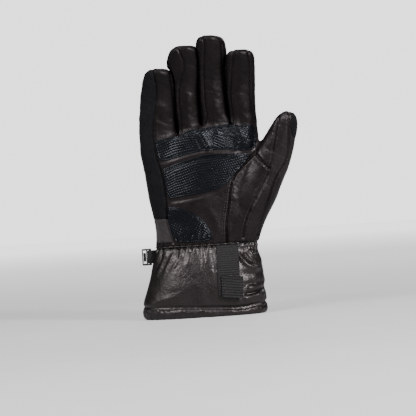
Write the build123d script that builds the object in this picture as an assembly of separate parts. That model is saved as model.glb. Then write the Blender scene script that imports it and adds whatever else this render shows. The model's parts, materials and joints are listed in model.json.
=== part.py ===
"""Right-hand insulated leather ski glove with a gauntlet cuff, standing on its hem, fingers up.

Frame: origin at the centre of the hand opening, in the plane that the hem stands on. +Z is up towards the
fingertips, the palm faces -Y and the thumb is on the +X side. Millimetres.

Every digit is two hinged tubes on the hollow hand. Each tube and the hand are three nested layers: the
leather shell, the padding and the lining. At a hinge both sides are cut back in a shallow V, ridged on the
hinge line, so that the digit can close to its limit and open to its other limit with nothing in the way.
"""

from build123d import *
import os
from math import cos, radians, sin, tan

os.makedirs("parts", exist_ok=True)

# ---- layers, as distances inwards from the outer surface ----
LEATHER = (0.0, 1.2)
PADDING = (1.4, 3.8)
LINING = (4.0, 4.8)
LAYERS = {"leather": LEATHER, "padding": PADDING, "lining": LINING}

# ---- hand: (height, left edge, right edge, depth) of each cross-section ----
WRIST_Z = 72.0
DECK_Z = 183.0
HAND_SECTIONS = [
    (WRIST_Z, -43.5, 56.0, 50.0),
    (95.0, -44.0, 64.0, 47.0),
    (125.0, -48.8, 62.0, 44.0),
    (158.0, -52.3, 62.5, 37.0),
    (DECK_Z, -51.0, 64.0, 30.0),
]
CORNER_SHARE = 0.485  # corner radius of a cross-section, as a share of its depth

# ---- thenar: the tube that carries the thumb out of the palm ----
THENAR_FOOT = (42.0, -3.0, 92.0)
THENAR_FOOT_HALF = (22.5, 18.0)
THENAR_TOP_HALF = (16.8, 14.0)

# ---- joints ----
HALF_GAP = 0.15  # half of the gap along a hinge's ridge
FLEX_MAX = 60.0
FLEX_MIN = -10.0
THUMB_FLEX_MAX = 40.0
THUMB_TIP_FLEX_MAX = 50.0
NOTCH_SPARE = 0.5  # degrees that each face of a V is cut past half of the limit
CUT_REACH = 45.0  # size of the cutting prism, longer than any digit is deep
HINGE_TO_PALM = 5.0  # the hinge line lies this far from the digit's centre, towards the palm

# ---- fingers: centre x and y, hinge height, knuckle-to-joint length and height of the top; then the half
# width and half depth at the knuckle, at the joint and at the top; then the upper tube's lean to +X ----
FINGERS = {
    "little": dict(x=-33.4, y=-2.5, hinge_z=188.0, base=31.0, top_z=247.0),
    "ring": dict(x=-3.0, y=0.5, hinge_z=195.0, base=38.0, top_z=268.5),
    "middle": dict(x=23.7, y=0.5, hinge_z=196.0, base=42.0, top_z=276.5),
    "index": dict(x=51.0, y=-0.5, hinge_z=194.0, base=36.0, top_z=261.5),
}
FINGERS["little"] |= dict(halves=((17.0, 12.8), (16.2, 12.6), (12.2, 11.4)), lean=5.0)
FINGERS["ring"] |= dict(halves=((12.9, 12.8), (12.7, 12.6), (11.4, 11.6)), lean=-1.0)
FINGERS["middle"] |= dict(halves=((13.4, 13.2), (13.2, 13.0), (12.2, 12.0)), lean=0.0)
FINGERS["index"] |= dict(halves=((13.4, 13.0), (13.2, 12.8), (11.9, 11.8)), lean=0.5)
BASE_CURL = 5.0  # degrees that the lower tube leans towards the palm side
TIP_CURL = 18.0  # degrees that the upper tube leans towards the palm side
TIP_ROUND = 8.5  # fillet of a fingertip's top edge
STUB_FOOT_Z = 165.0  # the finger stubs start here, inside the hand

# ---- thumb ----
THUMB_ROOT = (75.6, -5.9, 147.6)  # centre of the thumb tube at its lower hinge
THUMB_LEAN = 27.0  # degrees from +Z towards +X
THUMB_CURL = 6.0
THUMB_TIP_LEAN = 23.0
THUMB_TIP_CURL = 14.0
THUMB_HALVES = ((16.6, 13.8), (13.8, 13.0), (10.6, 11.4))  # at its root, at its joint and at its top
THUMB_BASE = 31.0
THUMB_TIP = 23.2
THUMB_SWING = (-0.42, -0.91)  # the thumb closes towards this X and Y direction
WIPE_LENGTH = 17.0
WIPE_THICK = 0.8

# ---- panels of the hand's leather ----
SIDE_STRIP_X = -34.0
SIDE_STRIP_FOOT_Z = 99.0
LITTLE_STRIP_X = -37.0
THUMB_SEAM = [(25.0, 60.0), (27.0, 90.0), (30.5, 115.0), (34.0, 129.0), (44.0, 142.0), (62.0, 160.0)]
GRIP_THICK = 0.9
KNUCKLE_THICK = 3.2
GRIP_UPPER = [(-31, 176), (-16, 178), (10, 180.5), (62, 180.5), (60, 160), (30, 162), (0, 161), (-31, 154)]
GRIP_MIDDLE = [(-31, 148), (0, 159), (30, 160), (57, 156), (45, 144), (28, 129), (10, 122), (-31, 118)]
GRIP_HEEL = [(-31, 112), (-18, 111), (-6, 105), (4, 95), (11, 83), (13.5, 76), (-25, 76), (-31, 98)]
KNUCKLE_PAD = [(-44, 172), (58, 176), (56, 150), (-44, 148)]

# ---- cuff ----
HEM_Z = 10.5
CUFF_SECTIONS = [
    (HEM_Z, -60.5, 61.5, 76.0),
    (22.0, -58.5, 62.0, 74.0),
    (42.0, -52.5, 60.5, 66.0),
    (60.0, -45.5, 57.5, 55.0),
    (WRIST_Z, -43.5, 56.0, 50.0),
]
HEM_HALF = (62.5, 40.5)
HEM_WALL = 6.8
HEM_ROUND = 2.8
ELASTIC_Z = (67.0, 76.0)
WELT_HALF_HEIGHT = 1.8
WELT_PROUD = 1.4

# ---- pull webbing on the cuff, and the folded tab over its lower end ----
WEBBING_THICK = 1.6
WEBBING_X = (16.5, 37.5)
WEBBING_Z = (21.5, 69.5)
TAB_GAP = 0.3
TAB_THICK = 2.4
TAB_CORNERS = [(20.0, 40.5), (40.5, 37.5), (39.5, 18.0), (19.5, 19.0)]
BAR_TACKS = [(17.3, 18.6, 23.0, 37.0), (19.0, 35.0, 66.2, 67.5)]  # left, right, bottom and top of each
BAR_TACK_PROUD = 0.6

# ---- pairing clip on the little-finger side of the wrist; lengths along X are from the bar's axis ----
CLIP_Z = 62.0
CLIP_AXIS = (-50.4, -3.0)
BAR_R = 1.2
BAR_CLEAR = 0.1
CLIP_WEBBING_THICK = 1.0
CLIP_WEBBING_WIDTH = 13.0
CLIP_HEIGHT = 16.6
CLIP_THICK = 3.4
CLIP_REACH = 8.2
CLIP_WINDOW_X = (3.9, 7.1)
CLIP_WINDOW_HEIGHT = 13.2
CLIP_SLOT_REACH = 2.8
TONGUE_WIDTH = 8.6
TONGUE_THICK = 2.0
TONGUE_GAP = 0.35


def node(name, shape):
    """Writes one sub-part."""
    export_step(shape, f"parts/{name}.step")


def turned(lean, curl):
    """A unit vector: +Z leaned towards +X, then curled towards the palm, in degrees."""
    a, b = radians(lean), radians(curl)
    return Vector(sin(a) * cos(b), -sin(b), cos(a) * cos(b))


def stack(sections, inset):
    """A closed solid through rounded-rectangle cross-sections, each drawn in by inset."""
    faces = []
    for z, left, right, depth in sections:
        width, thick = right - left - 2 * inset, depth - 2 * inset
        outline = RectangleRounded(width, thick, CORNER_SHARE * thick)
        faces.append(Pos((left + right) / 2, 0, z) * outline)
    return loft(faces, ruled=True)


def across(point, direction):
    """The plane through point and square to direction, its x as near to +X as it can be."""
    side = Vector(0, 1, 0).cross(direction).normalized()
    return Plane(origin=point, x_dir=side, z_dir=direction)


def tube(start, direction, halves, inset, length, before=0.0, after=0.0):
    """A tapered elliptical bar: halves[0] at start and halves[1] at length, running on past both ends."""
    faces = []
    for at in (-before, length + after):
        share = at / length
        half = [a + (b - a) * share - inset for a, b in zip(*halves)]
        faces.append(across(start + direction * at, direction) * Ellipse(*half))
    return loft(faces, ruled=True)


def hinge_frame(point, axis, parent, child):
    """The hinge's frame: x along its line, z midway between the two tubes, -y towards the closing side."""
    return Plane(origin=point, x_dir=axis, z_dir=(parent + child).normalized())


def vee(frame, close, open_, width, upper):
    """The prism to take off the tube above the hinge (upper) or below it, ridged on the hinge line."""
    side = -1 if upper else 1
    front = tan(radians(close / 2 + NOTCH_SPARE))
    back = tan(radians(-open_ / 2 + NOTCH_SPARE))
    ridge = (0, -side * HALF_GAP)
    low = (-CUT_REACH, -side * (HALF_GAP + CUT_REACH * front))
    high = (CUT_REACH, -side * (HALF_GAP + CUT_REACH * back))
    far = side * 2.2 * CUT_REACH
    outline = Polyline(ridge, low, (-CUT_REACH, far), (CUT_REACH, far), high, close=True)
    prism = extrude(Plane.YZ * make_face(outline), width, both=True)
    return frame.location * prism


def finger_facts(f):
    """Hinge points, directions and lengths that follow from a finger's driving sizes."""
    base_dir, tip_dir = turned(0, BASE_CURL), turned(f["lean"], TIP_CURL)
    root = Vector(f["x"], f["y"], f["hinge_z"])
    joint = root + base_dir * f["base"]
    crown = f["halves"][2][1] * sin(radians(TIP_CURL)) * 0.45
    reach = (f["top_z"] - joint.Z - crown) / cos(radians(TIP_CURL))
    line = Vector(1, 0, 0)
    low = hinge_frame(root - Vector(0, HINGE_TO_PALM, 0), line, Vector(0, 0, 1), base_dir)
    high = hinge_frame(joint - Vector(0, HINGE_TO_PALM, 0), line, base_dir, turned(0, TIP_CURL))
    return dict(root=root, joint=joint, base_dir=base_dir, tip_dir=tip_dir, reach=reach, low=low, high=high)


def rounded_tip(start, direction, halves, inset, length):
    """The closed outer form of a fingertip, from a little before start."""
    bar = tube(start, direction, halves, inset, length, before=12.0, after=-inset)
    top = bar.faces().sort_by(Axis((0, 0, 0), tuple(direction)))[-1]
    return fillet(top.edges(), TIP_ROUND - inset)


def finger_parts(name, f):
    """The lower and upper tube of one finger, each as three layers."""
    k = finger_facts(f)
    width = f["halves"][0][0] + 3
    lower_cut = vee(k["low"], FLEX_MAX, FLEX_MIN, width, upper=True)
    upper_cut = vee(k["high"], FLEX_MAX, FLEX_MIN, width, upper=False)
    tip_cut = vee(k["high"], FLEX_MAX, FLEX_MIN, width, upper=True)
    for layer, (outer, inner) in LAYERS.items():
        lower = [tube(k["root"], k["base_dir"], f["halves"][:2], i, f["base"], 9, 9) for i in (outer, inner)]
        base = (lower[0] - lower[1]) - lower_cut - upper_cut
        ends = f["halves"][1:]
        upper = [rounded_tip(k["joint"], k["tip_dir"], ends, i, k["reach"]) for i in (outer, inner)]
        tip = (upper[0] - upper[1]) - tip_cut
        if name == "little" and layer == "leather":
            for part, shape in (("base", base), ("tip", tip)):
                strip = Pos(LITTLE_STRIP_X - 50, 0, 220) * Box(100, 100, 160)
                node(f"little_{part}_side_strip", shape & strip)
                node(f"little_{part}_leather", shape - strip)
        else:
            node(f"{name}_base_{layer}", base)
            node(f"{name}_tip_{layer}", tip)


def thumb_facts():
    """Hinge points, directions and hinge lines of the thumb."""
    base_dir = turned(THUMB_LEAN, THUMB_CURL)
    tip_dir = turned(THUMB_TIP_LEAN, THUMB_TIP_CURL)
    swing = Vector(THUMB_SWING[0], THUMB_SWING[1], 0)
    line = base_dir.cross(swing).normalized()
    inward = line.cross(base_dir).normalized()
    root = Vector(*THUMB_ROOT)
    joint = root + base_dir * THUMB_BASE
    low = hinge_frame(root + inward * HINGE_TO_PALM, line, base_dir, base_dir)
    high = hinge_frame(joint + inward * HINGE_TO_PALM, line, base_dir, tip_dir)
    return dict(root=root, joint=joint, base_dir=base_dir, tip_dir=tip_dir, line=line, low=low, high=high)


def thumb_parts():
    """The thumb's two tubes in three layers, and the wipe patch on the back of its tip."""
    k = thumb_facts()
    width = THUMB_HALVES[0][0] + 6
    low_halves, high_halves = THUMB_HALVES[:2], THUMB_HALVES[1:]
    lower_cut = vee(k["low"], THUMB_FLEX_MAX, FLEX_MIN, width, upper=True)
    upper_cut = vee(k["high"], THUMB_TIP_FLEX_MAX, FLEX_MIN, width, upper=False)
    tip_cut = vee(k["high"], THUMB_TIP_FLEX_MAX, FLEX_MIN, width, upper=True)
    for layer, (outer, inner) in LAYERS.items():
        lower = [tube(k["root"], k["base_dir"], low_halves, i, THUMB_BASE, 9, 9) for i in (outer, inner)]
        node(f"thumb_base_{layer}", (lower[0] - lower[1]) - lower_cut - upper_cut)
        upper = [rounded_tip(k["joint"], k["tip_dir"], high_halves, i, THUMB_TIP) for i in (outer, inner)]
        node(f"thumb_tip_{layer}", (upper[0] - upper[1]) - tip_cut)
    over = rounded_tip(k["joint"], k["tip_dir"], high_halves, -WIPE_THICK, THUMB_TIP)
    under = rounded_tip(k["joint"], k["tip_dir"], high_halves, 0.0, THUMB_TIP)
    place = across(k["joint"] + k["tip_dir"] * THUMB_TIP, k["tip_dir"])
    reach = THUMB_HALVES[1][0]
    window = Pos(reach, 2, -WIPE_LENGTH / 2 - 3) * Box(0.9 * reach, 1.5 * reach, WIPE_LENGTH)
    node("thumb_wipe_patch", (over - under) & (place.location * window))


def hand_solid(inset):
    """The hand with its four finger stubs and its thumb stub, drawn in by inset and not yet notched."""
    sections = [list(s) for s in HAND_SECTIONS]
    sections[-1][0] -= inset
    whole = stack(sections, inset)
    for f in FINGERS.values():
        k = finger_facts(f)
        foot = (f["hinge_z"] - STUB_FOOT_Z) / cos(radians(BASE_CURL))
        whole += tube(k["root"], k["base_dir"], (f["halves"][0], f["halves"][0]), inset, 9.0, before=foot)
    k = thumb_facts()
    start, end = Vector(*THENAR_FOOT), k["root"] + k["base_dir"] * 5.0
    foot = across(start, (end - start).normalized())
    top = across(end, k["base_dir"])
    lower = foot * Ellipse(THENAR_FOOT_HALF[0] - inset, THENAR_FOOT_HALF[1] - inset)
    upper = top * Ellipse(THENAR_TOP_HALF[0] - inset, THENAR_TOP_HALF[1] - inset)
    return whole + loft([lower, upper], ruled=True)


def notches():
    """Everything that the digits need taken off the hand."""
    cuts = []
    for f in FINGERS.values():
        cuts.append(vee(finger_facts(f)["low"], FLEX_MAX, FLEX_MIN, f["halves"][0][0] + 0.2, upper=False))
    cuts.append(vee(thumb_facts()["low"], THUMB_FLEX_MAX, FLEX_MIN, THUMB_HALVES[0][0] + 6, upper=False))
    return cuts


def prism_xz(points, y0, y1):
    """A prism over an outline in X and Z, between two depths."""
    face = Plane.XZ * make_face(Polyline(*points, close=True))
    return Pos(0, y1, 0) * extrude(face, y1 - y0)


def hand_parts():
    """The hand's layers, with the leather divided into its panels, and what is sewn on it."""
    cuts = notches()
    forms = {inset: hand_solid(inset) for pair in LAYERS.values() for inset in pair}

    def layer(pair):
        shape = forms[pair[0]] - forms[pair[1]]
        shape -= Pos(0, 0, WRIST_Z - 50) * Box(300, 300, 100)
        for cut in cuts:
            shape -= cut
        return shape

    shell = layer(LEATHER)
    back = Pos(0, 100, 150) * Box(300, 200, 300)
    node("back_leather", shell & back)
    front = shell - back
    strip = Pos(SIDE_STRIP_X - 50, -50, SIDE_STRIP_FOOT_Z + 100) * Box(100, 100, 200)
    gusset = Pos(SIDE_STRIP_X - 50, -50, SIDE_STRIP_FOOT_Z - 50) * Box(100, 100, 100)
    thenar = prism_xz([*THUMB_SEAM, (130.0, 175.0), (130.0, 60.0)], -60, 0)
    node("side_strip", front & strip)
    node("side_gusset", front & gusset)
    node("thumb_panel", front & thenar)
    node("palm_leather", front - strip - gusset - thenar)

    above_elastic = Pos(0, 0, ELASTIC_Z[1] - 50) * Box(300, 300, 100)
    node("hand_padding", layer(PADDING) - above_elastic)
    node("hand_lining", layer(LINING))

    outer = forms[0.0]
    raised = stack(HAND_SECTIONS, -GRIP_THICK) - outer
    for name, outline in (("upper", GRIP_UPPER), ("middle", GRIP_MIDDLE), ("heel", GRIP_HEEL)):
        node(f"grip_patch_{name}", raised & prism_xz(outline, -60, 0))
    node("knuckle_pad", (stack(HAND_SECTIONS, -KNUCKLE_THICK) - outer) & prism_xz(KNUCKLE_PAD, 0, 60))


def cuff_parts():
    """The cuff's layers, its hem, and the elastic and welt at the wrist."""
    forms = {inset: stack(CUFF_SECTIONS, inset) for pair in LAYERS.values() for inset in pair}
    below_elastic = Pos(0, 0, ELASTIC_Z[0] + 50) * Box(300, 300, 100)
    node("cuff_leather", forms[LEATHER[0]] - forms[LEATHER[1]])
    node("cuff_padding", (forms[PADDING[0]] - forms[PADDING[1]]) - below_elastic)
    node("cuff_lining", forms[LINING[0]] - forms[LINING[1]])

    wrist = [forms[i] + stack(HAND_SECTIONS, i) for i in PADDING]
    middle = (ELASTIC_Z[0] + ELASTIC_Z[1]) / 2
    band = Pos(0, 0, middle) * Box(300, 300, ELASTIC_Z[1] - ELASTIC_Z[0])
    node("wrist_elastic", (wrist[0] - wrist[1]) & band)

    _, left, right, depth = HAND_SECTIONS[0]
    proud = RectangleRounded(right - left + 2 * WELT_PROUD, depth + 2 * WELT_PROUD, depth * CORNER_SHARE)
    ring = Pos((left + right) / 2, 0, WRIST_Z - WELT_HALF_HEIGHT) * extrude(proud, 2 * WELT_HALF_HEIGHT)
    core = stack(HAND_SECTIONS, 0.0) + forms[0.0]
    node("wrist_welt", ring - core)

    half_x, half_y = HEM_HALF
    outside = extrude(RectangleRounded(2 * half_x, 2 * half_y, CORNER_SHARE * 2 * half_y), HEM_Z)
    opening = RectangleRounded(
        2 * (half_x - HEM_WALL), 2 * (half_y - HEM_WALL), CORNER_SHARE * 2 * (half_y - HEM_WALL)
    )
    hem = outside - extrude(opening, HEM_Z)
    rims = hem.edges().filter_by(lambda e: e.bounding_box().size.Z < 0.01)
    node("hem_roll", fillet(rims, HEM_ROUND))


def webbing_parts():
    """The pull webbing sewn on the cuff, its bar tacks, and the tab that hinges over its lower end."""
    cuff = stack(CUFF_SECTIONS, 0.0)
    (x0, x1), (z0, z1) = WEBBING_X, WEBBING_Z
    outline = [(x0, z0), (x1, z0), (x1, z1), (x0, z1)]
    tape = (stack(CUFF_SECTIONS, -WEBBING_THICK) - cuff) & prism_xz(outline, -60, 0)
    node("pull_webbing", tape)
    near, far = WEBBING_THICK + TAB_GAP, WEBBING_THICK + TAB_GAP + TAB_THICK
    tab = stack(CUFF_SECTIONS, -far) - stack(CUFF_SECTIONS, -near)
    node("pull_tab", tab & prism_xz(TAB_CORNERS, -60, 0))
    thread = stack(CUFF_SECTIONS, -WEBBING_THICK - BAR_TACK_PROUD) - stack(CUFF_SECTIONS, -WEBBING_THICK)
    tacks = []
    for left, right, low, high in BAR_TACKS:
        tacks.append(thread & prism_xz([(left, low), (right, low), (right, high), (left, high)], -60, 0))
    node("webbing_bar_tacks", Compound([s for t in tacks for s in t.solids()]))


def clip_parts():
    """The pairing clip: its webbing loop, its frame on a bar through the loop, and its sprung tongue."""
    x, y = CLIP_AXIS
    at = Pos(x, y, CLIP_Z)
    inner, outer = BAR_R + BAR_CLEAR, BAR_R + BAR_CLEAR + CLIP_WEBBING_THICK
    eye = Cylinder(outer, CLIP_WEBBING_WIDTH) - Cylinder(inner, CLIP_WEBBING_WIDTH)
    tail_length = 14.0
    tail_thick = 2 * CLIP_WEBBING_THICK
    tail = Pos(tail_length / 2 + inner, 0, 0) * Box(tail_length, tail_thick, CLIP_WEBBING_WIDTH)
    loop = at * (eye + (tail - Cylinder(inner, CLIP_WEBBING_WIDTH)))
    node("clip_webbing", loop - stack(HAND_SECTIONS, 0.0) - stack(CUFF_SECTIONS, 0.0))

    plate = Box(CLIP_REACH + BAR_R, CLIP_THICK, CLIP_HEIGHT)
    plate = Pos(-(CLIP_REACH - BAR_R) / 2, 0, 0) * fillet(plate.edges().filter_by(Axis.Y), 1.1)
    slot = Box(2 * CLIP_SLOT_REACH, 2 * CLIP_SLOT_REACH, CLIP_WEBBING_WIDTH + 0.8)
    near, far = CLIP_WINDOW_X
    window = Pos(-(near + far) / 2, 0, 0) * Box(far - near, 3 * CLIP_THICK, CLIP_WINDOW_HEIGHT)
    bar = Cylinder(BAR_R, CLIP_HEIGHT)
    node("clip_frame", at * ((plate - slot - window) + bar))

    reach = far - near - 2 * TONGUE_GAP
    blade = Pos(-near - TONGUE_GAP - reach / 2, 0, 0) * Box(reach, TONGUE_THICK, TONGUE_WIDTH)
    hook = Pos(-far + TONGUE_GAP + 0.5, -TONGUE_THICK / 2 - 0.35, 0) * Box(1.0, 0.7, TONGUE_WIDTH)
    node("clip_tongue", at * (blade + hook))


def main():
    for name, f in FINGERS.items():
        finger_parts(name, f)
    thumb_parts()
    hand_parts()
    cuff_parts()
    webbing_parts()
    clip_parts()


main()
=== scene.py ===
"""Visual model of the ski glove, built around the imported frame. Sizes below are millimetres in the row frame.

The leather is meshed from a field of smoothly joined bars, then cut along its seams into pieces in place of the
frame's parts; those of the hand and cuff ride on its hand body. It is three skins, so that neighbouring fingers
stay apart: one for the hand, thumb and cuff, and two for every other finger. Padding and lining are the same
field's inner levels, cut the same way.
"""

import json
from math import cos, pi, radians, sin

import bpy
import numpy as np
from mathutils import Matrix, Vector
from mathutils.bvhtree import BVHTree


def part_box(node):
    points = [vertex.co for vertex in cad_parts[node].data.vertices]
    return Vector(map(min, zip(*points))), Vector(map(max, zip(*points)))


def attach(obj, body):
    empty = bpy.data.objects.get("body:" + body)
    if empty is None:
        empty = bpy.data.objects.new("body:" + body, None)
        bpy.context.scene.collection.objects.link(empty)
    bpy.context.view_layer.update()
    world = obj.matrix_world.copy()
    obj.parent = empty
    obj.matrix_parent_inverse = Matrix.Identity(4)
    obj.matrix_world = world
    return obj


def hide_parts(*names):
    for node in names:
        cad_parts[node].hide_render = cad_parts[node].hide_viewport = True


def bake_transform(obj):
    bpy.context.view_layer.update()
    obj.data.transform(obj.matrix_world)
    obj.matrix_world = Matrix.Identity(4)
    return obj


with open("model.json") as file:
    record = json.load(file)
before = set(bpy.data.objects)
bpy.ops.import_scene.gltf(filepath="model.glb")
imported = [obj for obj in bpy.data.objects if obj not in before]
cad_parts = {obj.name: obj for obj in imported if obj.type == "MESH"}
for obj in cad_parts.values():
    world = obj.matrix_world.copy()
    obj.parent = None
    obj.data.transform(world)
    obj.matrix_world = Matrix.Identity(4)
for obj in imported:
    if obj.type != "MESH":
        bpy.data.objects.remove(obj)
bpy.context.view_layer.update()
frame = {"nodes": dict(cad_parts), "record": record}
MM = 0.001
STEP = 0.9  # the size of the leather's mesh
WRIST_SEAM = 70  # height of the seam between hand and cuff
HINGE_TO_PALM = 5  # the fingers' hinges lie this far from their middle, towards the palm
LATTICE = np.random.default_rng(7).random((32, 32, 32)).astype(np.float32) * 2 - 1
JOINTS = {j["name"]: j for j in frame["record"]["behaviour"]["joints"]}

# ---------------------------------------------------------------- noise, lines and tables


def noise3(p, size, shift=0.0):
    """Smooth noise from -1 to 1 at points p, its lumps about size across (one number, or one for each axis)."""
    q = p / np.asarray(size) + shift * 7.31
    i = np.floor(q).astype(int)
    f = q - i
    f = f * f * (3 - 2 * f)
    total = 0.0
    for dx in (0, 1):
        for dy in (0, 1):
            for dz in (0, 1):
                weight = 1.0
                for axis, d in enumerate((dx, dy, dz)):
                    weight = weight * (f[:, axis] if d else 1 - f[:, axis])
                total = total + weight * LATTICE[(i[:, 0] + dx) & 31, (i[:, 1] + dy) & 31, (i[:, 2] + dz) & 31]
    return total


def creases(p, size, shift=0.0, sharp=12.0):
    """Thin creases, 1 on a crease and 0 away from it."""
    warp = np.stack([noise3(p, 23.0, shift + k) for k in (1, 2, 3)], 1) * 4
    return (1 - np.abs(noise3(p + warp, size, shift))) ** sharp


def table(points, sigma=4.0):
    """A smooth function of one variable from (at, value) pairs."""
    at, value = np.array(points, float).T
    grid = np.arange(at[0] - 30, at[-1] + 30, 0.5)
    reach = np.arange(-int(6 * sigma), int(6 * sigma) + 1)
    kernel = np.exp(-0.5 * (reach * 0.5 / sigma) ** 2)
    padded = np.interp(np.arange(grid[0] - 3 * sigma, grid[-1] + 3.01 * sigma, 0.5), at, value)
    smooth = np.convolve(padded, kernel / kernel.sum(), "valid")[: len(grid)]
    return lambda z: np.interp(z, grid[: len(smooth)], smooth)


def rounded(points, rounds=2):
    """A polyline with its corners cut, so that it runs smoothly."""
    p = np.array(points, float)
    for _ in range(rounds):
        a, b = p[:-1], p[1:]
        near_ends = np.stack([0.75 * a + 0.25 * b, 0.25 * a + 0.75 * b], 1).reshape(-1, 2)
        p = np.vstack([p[:1], near_ends, p[-1:]])
    return p


def near(line, x, z):
    """Distance to a polyline in X and Z, and how far along it the nearest point is."""
    best, along = np.full(len(x), 1e9), np.zeros(len(x))
    run = 0.0
    for (x0, z0), (x1, z1) in zip(line[:-1], line[1:]):
        dx, dz = x1 - x0, z1 - z0
        length = max((dx * dx + dz * dz) ** 0.5, 1e-6)
        t = np.clip(((x - x0) * dx + (z - z0) * dz) / length**2, 0, 1)
        d = np.hypot(x - x0 - t * dx, z - z0 - t * dz)
        closer = d < best
        best[closer] = d[closer]
        along[closer] = run + t[closer] * length
        run += length
    return best, along


def inside_of(outline, x, z):
    """Signed distance to a closed outline in X and Z, negative inside."""
    ring = np.vstack([outline, outline[:1]])
    d, _ = near(ring, x, z)
    odd = np.zeros(len(x), bool)
    for (x0, z0), (x1, z1) in zip(ring[:-1], ring[1:]):
        crosses = ((z0 > z) != (z1 > z)) & (x < (x1 - x0) * (z - z0) / (z1 - z0 + 1e-12) + x0)
        odd ^= crosses
    return np.where(odd, -d, d)


def ramp(v, low, high):
    """0 below low, 1 above high, smooth between."""
    t = np.clip((v - low) / (high - low), 0, 1)
    return t * t * (3 - 2 * t)


# ---------------------------------------------------------------- the field of the glove's outer surface

BODY = [  # height, left edge, right edge, half depth
    (0, -58, 60, 36.0), (6, -59.5, 61.5, 37.0), (12, -61, 63, 38.2), (20, -59, 62.6, 37.4), (30, -55, 61.6, 35.8),
    (38, -52.4, 61.6, 34.0), (47, -49.4, 61.2, 32.0), (55, -47.6, 59.0, 29.8), (62, -45.8, 57.0, 27.6),
    (67, -44.4, 56.6, 25.4), (72, -43.6, 56.6, 24.2), (76, -43.6, 58, 24.8), (85, -43.2, 60, 24.8),
    (95, -43.6, 62, 24.0), (108, -46, 62, 23.2), (118, -48, 62, 22.6), (130, -49.2, 62, 21.8), (150, -51, 62, 19.8),
    (165, -53, 62.5, 17.6), (175, -52.6, 63, 16.2), (190, -52, 63.5, 14.6),
]  # fmt: skip
BODY_LEFT, BODY_RIGHT, BODY_DEEP = (
    table([(r[0], r[k]) for r in BODY], sigma) for k, sigma in ((1, 2.2), (2, 2.2), (3, 2.6))
)
BODY_POWER = lambda z: 2.5 + 0.5 * ramp(65 - z, 0, 30)  # how square the body's section is, more so on the cuff
CROTCH = [(-60, 171), (-14, 181), (10.3, 188.5), (39, 186.8), (66, 174)]  # the hand's top edge between the fingers
LEAVE = ([-60, -14, 10.3, 39, 66], [178, 183, 190.5, 188.8, 188.5])  # X and Z of the line where the fingers leave
TIP_SLOPE = 0.325  # how steeply the fingers' upper parts lean to the palm
SLANT = 0.32  # the gaps between the fingers run back at this slope, so that nothing shows through them

DIGITS = {  # edges: height, left, right; half depth, rounded end, height of the cut between base and tip, the span
    # of X that it takes at the hand, and the neighbour it is dented by
    "little": dict(
        edge=[(160, -52, -14.35), (190, -52, -14.35), (194, -51.8, -14.5), (200, -51.5, -14.6), (210, -50, -13.8),
              (216, -49.2, -13.5), (222, -48.3, -13.2), (230, -46.2, -13), (240, -43.2, -13.8), (248, -41, -16)],
        deep=12.9, cap=(236, 248), cut=206, slot=(-70, -14), leans=None),
    "ring": dict(
        edge=[(160, -13.65, 9.95), (190, -13.65, 9.95), (194, -13.9, 9.95), (198, -14.6, 10), (205, -15.2, 9.9),
              (215, -15.4, 9.4), (225, -16.6, 9.6), (235, -18.6, 11.2), (242, -20.4, 12.2), (250, -22, 12.7),
              (256, -21.6, 12.6), (262, -19.4, 11.6), (270, -15, 10)],
        deep=12.9, cap=(257.5, 269.3), cut=217, slot=(-14, 10.3), leans="little"),
    "middle": dict(
        edge=[(160, 10.65, 38.65), (195, 10.65, 38.65), (199, 10.3, 38), (205, 10, 37.6), (215, 9.6, 36.6),
              (228, 9.2, 36), (240, 8.8, 35.6), (250, 8.2, 36.6), (258, 7.6, 37.4), (266, 7.6, 36.8), (278, 9, 35)],
        deep=13.1, cap=(266, 277.5), cut=222, slot=(10.3, 39), leans="ring"),
    "index": dict(
        edge=[(160, 39.35, 64.6), (195, 39.35, 63.6), (199, 38.4, 63), (205, 37.8, 63), (215, 37.2, 63.4),
              (225, 36.8, 64.3), (240, 36.6, 65.3), (250, 37.4, 65.7), (262, 39.2, 64.4)],
        deep=12.9, cap=(251, 261.8), cut=214, slot=(39, 90), leans="middle"),
}  # fmt: skip
for NAME, D in DIGITS.items():
    KNUCKLE, BEND = (np.array(JOINTS[f"{NAME}_{k}"]["pos_m"]) / MM for k in ("knuckle", "bend"))
    D["low"], D["high"] = KNUCKLE, BEND
    Y0, Y1 = KNUCKLE[1] + HINGE_TO_PALM, BEND[1] + HINGE_TO_PALM
    D["y"] = table([(150, Y0), (KNUCKLE[2], Y0), (BEND[2], Y1), (290, Y1 - (290 - BEND[2]) * TIP_SLOPE)], 5)
    D["left"], D["right"] = (table([(r[0], r[k]) for r in D["edge"]], 2.5) for k in (1, 2))


def across_fingers(x, y, z):
    """X on a plane that is square to the slanted gaps, which follow the fingers' curl to the palm."""
    return x - SLANT * (y - sum(d["y"](z) for d in DIGITS.values()) / 4)


LEAN = radians(27)  # how far the thumb leans from upright
THUMB = [  # distance along the thumb's own line, left edge, right edge, centre's Y, half depth
    (70, -17, 16.5, -3, 17), (95, -20, 17.2, -3, 18), (120, -20.4, 18.6, -3.6, 17.6), (136, -20, 19.5, -4.2, 16.2),
    (150, -19.2, 18.6, -5, 15), (158, -18.8, 18.6, -5.4, 14.4), (166, -18.2, 18.5, -6, 14),
    (176, -17.5, 17.4, -7, 13.6), (183, -16.8, 16.2, -7.8, 13.4), (189, -16, 14.8, -8.6, 13.2),
    (197, -14.6, 12.9, -9.8, 12.8), (205, -13.6, 10.8, -11.6, 12.4), (212, -12.4, 8.8, -13.4, 11.8),
    (222, -11, 7, -16, 11.2),
]  # fmt: skip
THUMB_TABLES = [table([(r[0], r[k]) for r in THUMB], 3.0) for k in (1, 2, 3, 4)]
WEB = np.array([63.5, 167.0])  # where the thumb meets the index finger's side
WEB_NORMAL = np.array([0.876, 0.483])
WEB_SIDE = lambda x, z: (z - 169) - 2.4 * (x - 62)  # over 0 on the fingers' side of the web, under 0 on the thumb's
THUMB_FOOT, THUMB_CUT = 90, 191  # where the thumb's base starts in height, and its tip along its own line


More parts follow.
